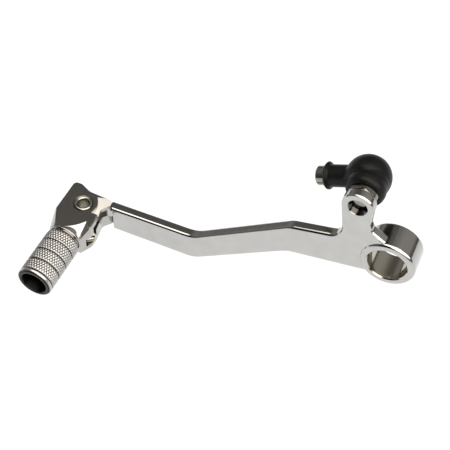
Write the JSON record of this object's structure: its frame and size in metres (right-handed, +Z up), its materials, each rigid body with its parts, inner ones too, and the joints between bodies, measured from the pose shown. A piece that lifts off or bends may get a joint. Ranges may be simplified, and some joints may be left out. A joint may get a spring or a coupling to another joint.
{
  "type": "gear shift lever",
  "caption": "Cranked aluminium motorcycle gear shift lever with a sprung folding tip, a knurled hollow toe peg and a booted ball joint for the shift rod.",
  "frame": {"origin": "on the pivot axis of the boss, at the middle of the boss's length", "axes": "+Y along the pivot axis, inboard, away from the rider's foot; +X from the toe peg towards the pivot; +Z up, along the tip's folding pin"},
  "size_m": [0.1753, 0.08, 0.0866],
  "materials": {
    "polished_arm": "forged aluminium, bead-blasted then bright polished",
    "satin_head": "cast aluminium, satin polished",
    "bright_peg": "turned steel, diamond knurled and nickel plated",
    "zinc_steel": "turned steel, clear zinc plated",
    "rivet_steel": "flared tubular rivet, zinc plated",
    "spring_steel": "drawn spring wire, pale yellow zinc",
    "black_rubber": "moulded nitrile rubber, satin"
  },
  "bodies": {
    "root": {"lever_arm": "polished_arm", "ball_stud": "zinc_steel"},
    "tip": {"peg_head": "satin_head", "toe_peg": "bright_peg", "peg_screw": "zinc_steel", "peg_washer": "zinc_steel", "hinge_pin": "rivet_steel", "torsion_spring": "spring_steel"},
    "swivel": {"dust_boot": "black_rubber"},
    "rod_end": {"rod_end_housing": "zinc_steel", "retaining_clip": "spring_steel"}
  },
  "joints": [
    {"name": "tip_fold", "type": "hinge", "parent": "root", "child": "tip", "pos_m": [-0.1516, -0.00875, -0.0397], "axis": [0, 0, 1], "range_deg": [0, 50], "stiffness_Nm_per_rad": 0.35, "springref_deg": -20.05, "deforming": ["torsion_spring"]},
    {"name": "ball_swivel", "type": "hinge", "parent": "root", "child": "swivel", "pos_m": [-0.0176, 0.01375, 0.0283], "axis": [0, 1, 0], "range_deg": [-55, 215]},
    {"name": "ball_tilt", "type": "hinge", "parent": "swivel", "child": "rod_end", "pos_m": [-0.0176, 0.01375, 0.0283], "axis": [-0.3987, 0, 0.9171], "range_deg": [-15, 15], "deforming": ["dust_boot"]}
  ]
}
